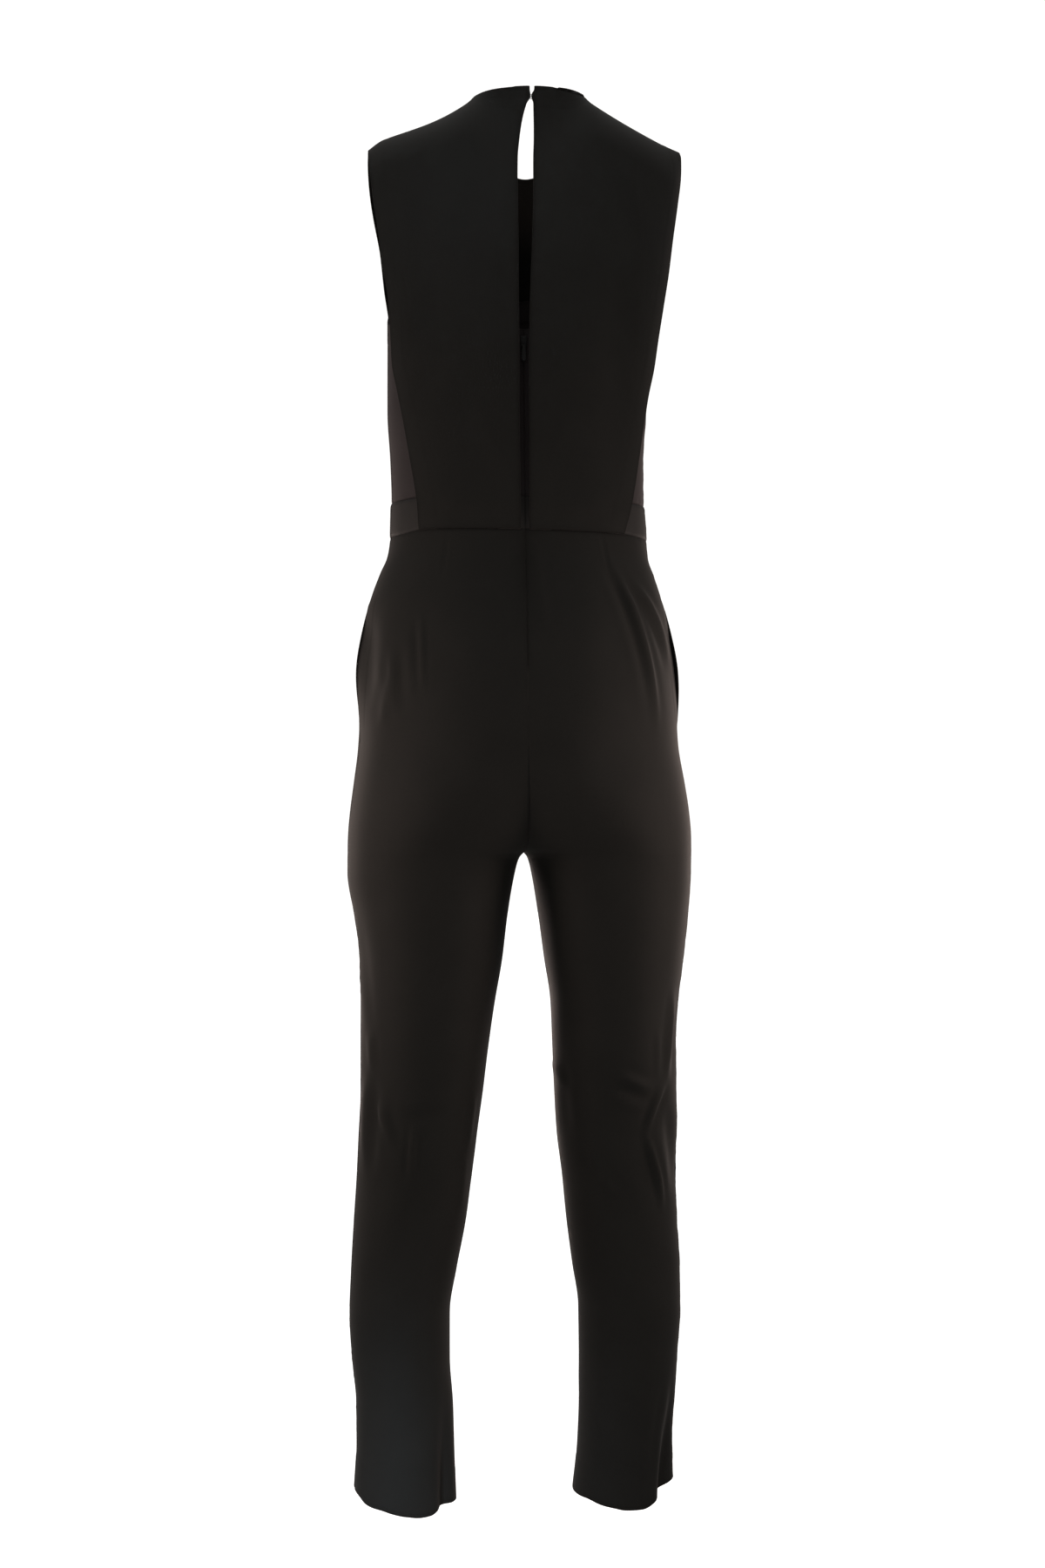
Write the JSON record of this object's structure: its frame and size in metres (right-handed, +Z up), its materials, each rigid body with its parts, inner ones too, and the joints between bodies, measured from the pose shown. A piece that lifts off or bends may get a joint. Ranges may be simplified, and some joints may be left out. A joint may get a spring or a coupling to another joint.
{
  "type": "sleeveless jumpsuit with an open-backed overlay",
  "caption": "Sleeveless ankle-length jumpsuit: tapered trousers and a strapless bodice under a loose high-necked overlay with a slit back.",
  "frame": {"origin": "middle of the neck opening, level with the neck ends of the shoulder seams", "axes": "+Z up towards the head, -Y the way the wearer faces, +X the wearer's left"},
  "size_m": [0.334, 0.2606, 1.3617],
  "materials": {
    "crepe": "matt black crepe with a fine grain",
    "bodice_crepe": "black bodice cloth, a little smoother than the crepe",
    "satin_band": "black satin-faced band with a soft sheen",
    "pocket_cloth": "thin black pocket cloth",
    "zip_tape": "woven black zip tape",
    "black_metal": "black enamelled metal"
  },
  "bodies": {
    "garment": {"overlay_front": "crepe", "overlay_back_left": "crepe", "overlay_back_right": "crepe", "bodice_front": "bodice_crepe", "bodice_back_left": "bodice_crepe", "bodice_back_right": "bodice_crepe", "waistband_front": "satin_band", "waistband_back_left": "satin_band", "waistband_back_right": "satin_band", "trouser_front_left": "crepe", "trouser_front_right": "crepe", "trouser_back_left": "crepe", "trouser_back_right": "crepe", "pocket_bag_left": "pocket_cloth", "pocket_bag_right": "pocket_cloth", "zip_tape": "zip_tape", "zip_slider": "black_metal", "neck_hook": "black_metal", "neck_eye": "black_metal"},
    "zip_tab": {"zip_pull_tab": "black_metal"}
  },
  "joints": [
    {"name": "zip_tab_hinge", "type": "hinge", "parent": "garment", "child": "zip_tab", "pos_m": [0.00179, 0.09165, -0.2454], "axis": [1, 0, 0], "range_deg": [0, 165]}
  ]
}
